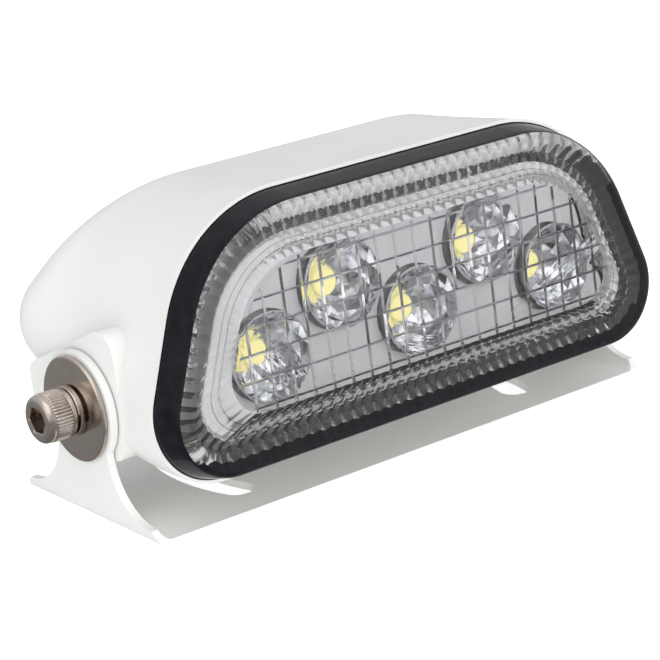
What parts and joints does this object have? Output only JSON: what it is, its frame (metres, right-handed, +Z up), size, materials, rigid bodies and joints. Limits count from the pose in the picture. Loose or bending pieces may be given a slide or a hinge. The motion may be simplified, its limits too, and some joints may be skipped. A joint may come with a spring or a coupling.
{
  "type": "led work light",
  "caption": "Compact sealed LED work light with a trapezoid face, prismatic clear lens and tapered die-cast housing, tilting on a bent U bracket.",
  "frame": {"origin": "centre of the bracket's fixing hole on the underside of its base", "axes": "+X along the light's width to its right, +Y to its back, +Z up from the base to the lamp"},
  "size_m": [0.1658, 0.0963, 0.0721],
  "materials": {
    "white_powder_coat": "satin powder coat",
    "white_coated_casting": "satin white powder coat on a die casting",
    "clear_lens": "clear moulded polycarbonate",
    "bright_reflector": "vacuum metallised, mirror bright",
    "black_bezel": "gloss",
    "black_rubber": "matte",
    "silver_tray": "metallised satin",
    "white_solder_mask": "semi gloss",
    "grey_silicone": "matte",
    "plate_aluminium": "milled",
    "stainless": "turned and knurled",
    "tinned_wire": "tinned",
    "green_board": "solder mask",
    "brass_posts": "turned",
    "dark_ferrite": "sintered",
    "capacitor_cans": "sleeved can",
    "black_epoxy": "moulded epoxy",
    "terminal_plastic": "moulded",
    "led_phosphor": "silicone phosphor dome",
    "holder_plastic": "moulded",
    "gland_plastic": "moulded nylon"
  },
  "bodies": {
    "bracket": {"mounting_bracket": "white_powder_coat"},
    "lamp": {"bezel_frame": "black_bezel", "board_screws": "stainless", "cup_collar_1": "holder_plastic", "cup_collar_2": "holder_plastic", "cup_collar_3": "holder_plastic", "cup_collar_4": "holder_plastic", "cup_collar_5": "holder_plastic", "driver_board": "green_board", "driver_capacitors": "capacitor_cans", "driver_chips": "black_epoxy", "driver_inductor": "dark_ferrite", "driver_screws": "stainless", "driver_standoffs": "brass_posts", "flat_washer_left": "stainless", "flat_washer_right": "stainless", "gland_body": "gland_plastic", "gland_nut": "gland_plastic", "gland_seal": "black_rubber", "heat_spreader": "plate_aluminium", "housing": "white_coated_casting", "inner_leads": "tinned_wire", "led_1": "led_phosphor", "led_2": "led_phosphor", "led_3": "led_phosphor", "led_4": "led_phosphor", "led_5": "led_phosphor", "led_board": "white_solder_mask", "lens": "clear_lens", "lens_gasket": "black_rubber", "pivot_bolt_left": "stainless", "pivot_bolt_right": "stainless", "reflector_cup_1": "bright_reflector", "reflector_cup_2": "bright_reflector", "reflector_cup_3": "bright_reflector", "reflector_cup_4": "bright_reflector", "reflector_cup_5": "bright_reflector", "reflector_tray": "silver_tray", "spring_washer_left": "stainless", "spring_washer_right": "stainless", "supply_terminal": "terminal_plastic", "thermal_pad": "grey_silicone"}
  },
  "joints": [
    {"name": "tilt", "type": "hinge", "parent": "bracket", "child": "lamp", "pos_m": [0, 0, 0.0265], "axis": [1, 0, 0], "range_deg": [-40, 20]}
  ]
}
